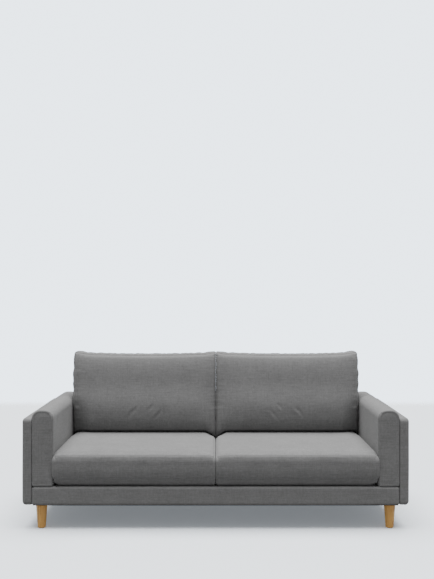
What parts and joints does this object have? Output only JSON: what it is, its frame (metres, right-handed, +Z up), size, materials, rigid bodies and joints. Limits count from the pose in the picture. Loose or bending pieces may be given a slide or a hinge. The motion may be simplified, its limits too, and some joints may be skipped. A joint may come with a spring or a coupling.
{
  "type": "sofa with wooden legs",
  "caption": "Upholstered sofa with loose seat and back cushions, padded arms, thin outer side panels and round tapered wooden legs",
  "frame": {"origin": "On the floor under the middle of the sofa's overall box", "axes": "+X to the right as seen from the front, +Y from front to back, +Z up"},
  "size_m": [2, 0.9, 0.862],
  "materials": {
    "grey_fabric": "matt woven, mid grey",
    "foam": "open-cell foam and wadding, matt",
    "felt": "pressed felt, matt",
    "lining_cloth": "black non-woven lining, matt",
    "webbing": "woven elastic webbing, matt",
    "hidden_timber": "sawn softwood and board, unfinished",
    "oak": "oiled oak, satin",
    "glide_plastic": "moulded, matt",
    "spring_steel": "black lacquered wire",
    "zinc_steel": "zinc plated, satin",
    "zip": "nylon coil on woven tape, matt",
    "zip_metal": "dark enamel, satin"
  },
  "bodies": {
    "frame": {"base_front_rail": "hidden_timber", "base_rear_rail": "hidden_timber", "base_side_rails": "hidden_timber", "base_centre_rail": "hidden_timber", "base_corner_blocks": "hidden_timber", "base_front_foam": "foam", "base_cover": "grey_fabric", "deck_cloth": "lining_cloth", "dust_cover": "lining_cloth", "deck_pad": "felt", "leg_front_left": "oak", "leg_front_right": "oak", "leg_rear_left": "oak", "leg_rear_right": "oak", "leg_bolts": "zinc_steel", "leg_inserts": "zinc_steel", "frame_bolts": "zinc_steel", "frame_nuts_and_washers": "zinc_steel", "leg_glides": "glide_plastic", "seat_springs": "spring_steel", "spring_clips": "spring_steel", "spring_tie_rods": "spring_steel", "left_arm_posts": "hidden_timber", "left_arm_rails": "hidden_timber", "left_arm_inner_panel": "hidden_timber", "left_side_board": "hidden_timber", "left_arm_foam": "foam", "left_side_foam": "foam", "left_arm_cover": "grey_fabric", "left_side_cover": "grey_fabric", "right_arm_posts": "hidden_timber", "right_arm_rails": "hidden_timber", "right_arm_inner_panel": "hidden_timber", "right_side_board": "hidden_timber", "right_arm_foam": "foam", "right_side_foam": "foam", "right_arm_cover": "grey_fabric", "right_side_cover": "grey_fabric", "back_posts": "hidden_timber", "back_rails": "hidden_timber", "back_webbing": "webbing", "back_foam": "foam", "back_cover": "grey_fabric", "back_outer_panel": "grey_fabric"},
    "left_seat_cushion": {"left_seat_cushion_cover": "grey_fabric", "left_seat_cushion_core": "foam", "left_seat_cushion_zip": "zip"},
    "left_seat_cushion_slider": {"left_seat_cushion_zip_slider": "zip_metal"},
    "left_back_cushion": {"left_back_cushion_cover": "grey_fabric", "left_back_cushion_fill": "foam", "left_back_cushion_zip": "zip"},
    "left_back_cushion_slider": {"left_back_cushion_zip_slider": "zip_metal"},
    "right_seat_cushion": {"right_seat_cushion_cover": "grey_fabric", "right_seat_cushion_core": "foam", "right_seat_cushion_zip": "zip"},
    "right_seat_cushion_slider": {"right_seat_cushion_zip_slider": "zip_metal"},
    "right_back_cushion": {"right_back_cushion_cover": "grey_fabric", "right_back_cushion_fill": "foam", "right_back_cushion_zip": "zip"},
    "right_back_cushion_slider": {"right_back_cushion_zip_slider": "zip_metal"}
  },
  "joints": [
    {"name": "left_seat_cushion_lift", "type": "slide", "parent": "frame", "child": "left_seat_cushion", "axis": [0, 0, 1], "range_m": [0, 0.5]},
    {"name": "left_back_cushion_lift", "type": "slide", "parent": "left_seat_cushion", "child": "left_back_cushion", "axis": [0, 0, 1], "range_m": [0, 0.5]},
    {"name": "right_seat_cushion_lift", "type": "slide", "parent": "frame", "child": "right_seat_cushion", "axis": [0, 0, 1], "range_m": [0, 0.5]},
    {"name": "right_back_cushion_lift", "type": "slide", "parent": "right_seat_cushion", "child": "right_back_cushion", "axis": [0, 0, 1], "range_m": [0, 0.5]},
    {"name": "left_seat_cushion_zip_pull", "type": "slide", "parent": "left_seat_cushion", "child": "left_seat_cushion_slider", "axis": [1, 0, 0], "range_m": [0, 0.67]},
    {"name": "left_back_cushion_zip_pull", "type": "slide", "parent": "left_back_cushion", "child": "left_back_cushion_slider", "axis": [1, 0, 0], "range_m": [0, 0.67]},
    {"name": "right_seat_cushion_zip_pull", "type": "slide", "parent": "right_seat_cushion", "child": "right_seat_cushion_slider", "axis": [1, 0, 0], "range_m": [0, 0.67]},
    {"name": "right_back_cushion_zip_pull", "type": "slide", "parent": "right_back_cushion", "child": "right_back_cushion_slider", "axis": [1, 0, 0], "range_m": [0, 0.67]}
  ]
}
